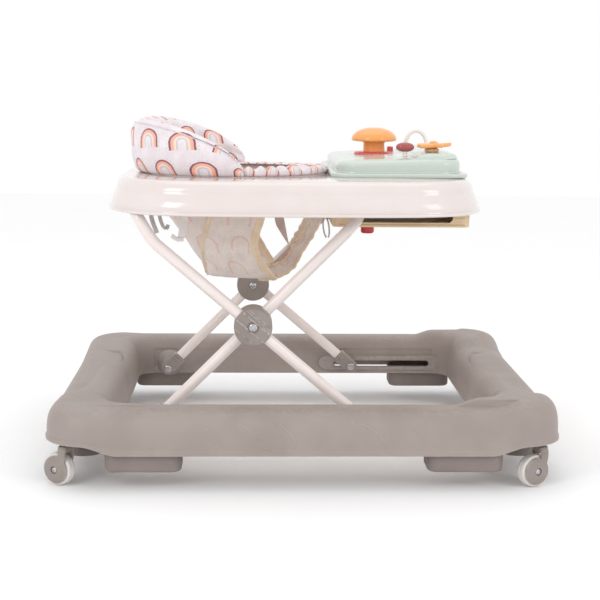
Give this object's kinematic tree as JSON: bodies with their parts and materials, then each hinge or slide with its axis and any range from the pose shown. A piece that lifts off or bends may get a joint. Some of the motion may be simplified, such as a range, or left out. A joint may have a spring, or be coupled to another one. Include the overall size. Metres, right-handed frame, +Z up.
{
  "type": "baby walker",
  "caption": "Folding baby walker: wheeled base ring, crossed tube legs, seat tray with padded backrest, hanging seat and toy panel.",
  "frame": {"origin": "on the floor, under the middle of the base", "axes": "+X towards the toy panel, +Y to the far side, +Z up"},
  "size_m": [0.7046, 0.6, 0.4885],
  "materials": {
    "taupe_plastic": "fine moulded texture, satin",
    "pad_rubber": "matt rubber",
    "wheel_tread": "pale smooth tyre",
    "bright_steel": "bright plated steel",
    "frame_enamel": "gloss enamel on steel tube",
    "cream_plastic": "high gloss",
    "ivory_plastic": "satin",
    "red_plastic": "satin gloss",
    "printed_fabric": "coated woven fabric with a small arch print",
    "sling_fabric": "thin woven fabric with bound edges",
    "mint_plastic": "satin gloss",
    "brick_plastic": "satin gloss",
    "orange_plastic": "satin gloss",
    "white_plastic": "satin gloss",
    "tan_plastic": "satin gloss"
  },
  "bodies": {
    "base": {"base_ring": "taupe_plastic", "brake_pad_front_far": "pad_rubber", "brake_pad_front_near": "pad_rubber", "brake_pad_rear_far": "pad_rubber", "brake_pad_rear_near": "pad_rubber", "cross_pad_front_far": "pad_rubber", "cross_pad_front_near": "pad_rubber", "cross_pad_rear_far": "pad_rubber", "cross_pad_rear_near": "pad_rubber"},
    "caster_rear_near": {"caster_fork_rear_near": "taupe_plastic", "caster_screw_rear_near": "bright_steel"},
    "wheel_rear_near": {"caster_wheel_rear_near": "wheel_tread"},
    "caster_rear_far": {"caster_fork_rear_far": "taupe_plastic", "caster_screw_rear_far": "bright_steel"},
    "wheel_rear_far": {"caster_wheel_rear_far": "wheel_tread"},
    "caster_front_near": {"caster_fork_front_near": "taupe_plastic", "caster_screw_front_near": "bright_steel"},
    "wheel_front_near": {"caster_wheel_front_near": "wheel_tread"},
    "caster_front_far": {"caster_fork_front_far": "taupe_plastic", "caster_screw_front_far": "bright_steel"},
    "wheel_front_far": {"caster_wheel_front_far": "wheel_tread"},
    "inner_frame": {"inner_leg_frame": "frame_enamel", "foot_cap_rear_far": "taupe_plastic", "foot_cap_rear_near": "taupe_plastic", "foot_pin_rear_far": "bright_steel", "foot_pin_rear_near": "bright_steel", "hub_inner_far": "taupe_plastic", "hub_inner_near": "taupe_plastic"},
    "outer_frame": {"outer_leg_frame": "frame_enamel", "foot_cap_front_far": "taupe_plastic", "foot_cap_front_near": "taupe_plastic", "foot_pin_front_far": "bright_steel", "foot_pin_front_near": "bright_steel", "hub_bolt_far": "bright_steel", "hub_bolt_near": "bright_steel", "hub_outer_far": "taupe_plastic", "hub_outer_near": "taupe_plastic"},
    "tray": {"tray_shell": "cream_plastic", "rear_clip_near": "ivory_plastic", "rear_clip_far": "ivory_plastic", "front_channel": "ivory_plastic", "seat_backrest": "printed_fabric", "seat_rim": "printed_fabric", "seat_sling": "sling_fabric", "panel_flange": "mint_plastic", "panel_body": "mint_plastic", "knob_seat": "brick_plastic", "flower_post": "tan_plastic", "toy_arch": "white_plastic"},
    "release": {"release_button": "red_plastic"},
    "knob": {"mushroom_knob": "orange_plastic"},
    "press": {"press_button": "brick_plastic"},
    "lever": {"lever_stalk": "white_plastic", "lever_grip": "brick_plastic"},
    "spinner": {"flower_spinner": "orange_plastic"}
  },
  "joints": [
    {"name": "swivel_rear_near", "type": "hinge", "parent": "base", "child": "caster_rear_near", "pos_m": [-0.321, -0.27, 0.06], "axis": [0, 0, 1], "continuous": true},
    {"name": "roll_rear_near", "type": "hinge", "parent": "caster_rear_near", "child": "wheel_rear_near", "pos_m": [-0.33053, -0.2645, 0.0225], "axis": [-0.5, -0.866, 0], "continuous": true},
    {"name": "swivel_rear_far", "type": "hinge", "parent": "base", "child": "caster_rear_far", "pos_m": [-0.321, 0.27, 0.06], "axis": [0, 0, 1], "continuous": true},
    {"name": "roll_rear_far", "type": "hinge", "parent": "caster_rear_far", "child": "wheel_rear_far", "pos_m": [-0.33053, 0.2645, 0.0225], "axis": [0.5, -0.866, 0], "continuous": true},
    {"name": "swivel_front_near", "type": "hinge", "parent": "base", "child": "caster_front_near", "pos_m": [0.321, -0.27, 0.06], "axis": [0, 0, 1], "continuous": true},
    {"name": "roll_front_near", "type": "hinge", "parent": "caster_front_near", "child": "wheel_front_near", "pos_m": [0.31103, -0.27465, 0.0225], "axis": [0.4226, -0.9063, 0], "continuous": true},
    {"name": "swivel_front_far", "type": "hinge", "parent": "base", "child": "caster_front_far", "pos_m": [0.321, 0.27, 0.06], "axis": [0, 0, 1], "continuous": true},
    {"name": "roll_front_far", "type": "hinge", "parent": "caster_front_far", "child": "wheel_front_far", "pos_m": [0.33053, 0.2755, 0.0225], "axis": [-0.5, 0.866, 0], "continuous": true},
    {"name": "fold", "type": "hinge", "parent": "base", "child": "inner_frame", "pos_m": [-0.211, 0, 0.0655], "axis": [0, 1, 0], "range_deg": [0, 35]},
    {"name": "cross", "type": "hinge", "parent": "inner_frame", "child": "outer_frame", "pos_m": [-0.06983, 0, 0.20717], "axis": [0, 1, 0], "range_deg": [-66.83, 0.5]},
    {"name": "tray_level", "type": "hinge", "parent": "outer_frame", "child": "tray", "pos_m": [-0.23583, 0, 0.37217], "axis": [0, 1, 0], "range_deg": [-0.5, 31.82]},
    {"name": "release_press", "type": "slide", "parent": "tray", "child": "release", "axis": [0, 0, 1], "range_m": [0, 0.006], "stiffness_N_per_m": 400, "springref_m": -0.001},
    {"name": "knob_spin", "type": "hinge", "parent": "tray", "child": "knob", "pos_m": [0.11247, 0.02, 0.43688], "axis": [0, 0, 1], "continuous": true},
    {"name": "button_press", "type": "slide", "parent": "tray", "child": "press", "axis": [0, 0, -1], "range_m": [0, 0.0025], "stiffness_N_per_m": 200, "springref_m": -0.001},
    {"name": "lever_tilt", "type": "hinge", "parent": "tray", "child": "lever", "pos_m": [0.14517, -0.113, 0.43723], "axis": [1, 0, 0], "range_deg": [-12, 12]},
    {"name": "flower_spin", "type": "hinge", "parent": "tray", "child": "spinner", "pos_m": [0.18517, -0.1, 0.44907], "axis": [0, 0, 1], "continuous": true}
  ],
  "couplings": [
    {"joint": "cross", "follows": "fold", "ratio": -1.895},
    {"joint": "tray_level", "follows": "fold", "ratio": 0.895}
  ]
}
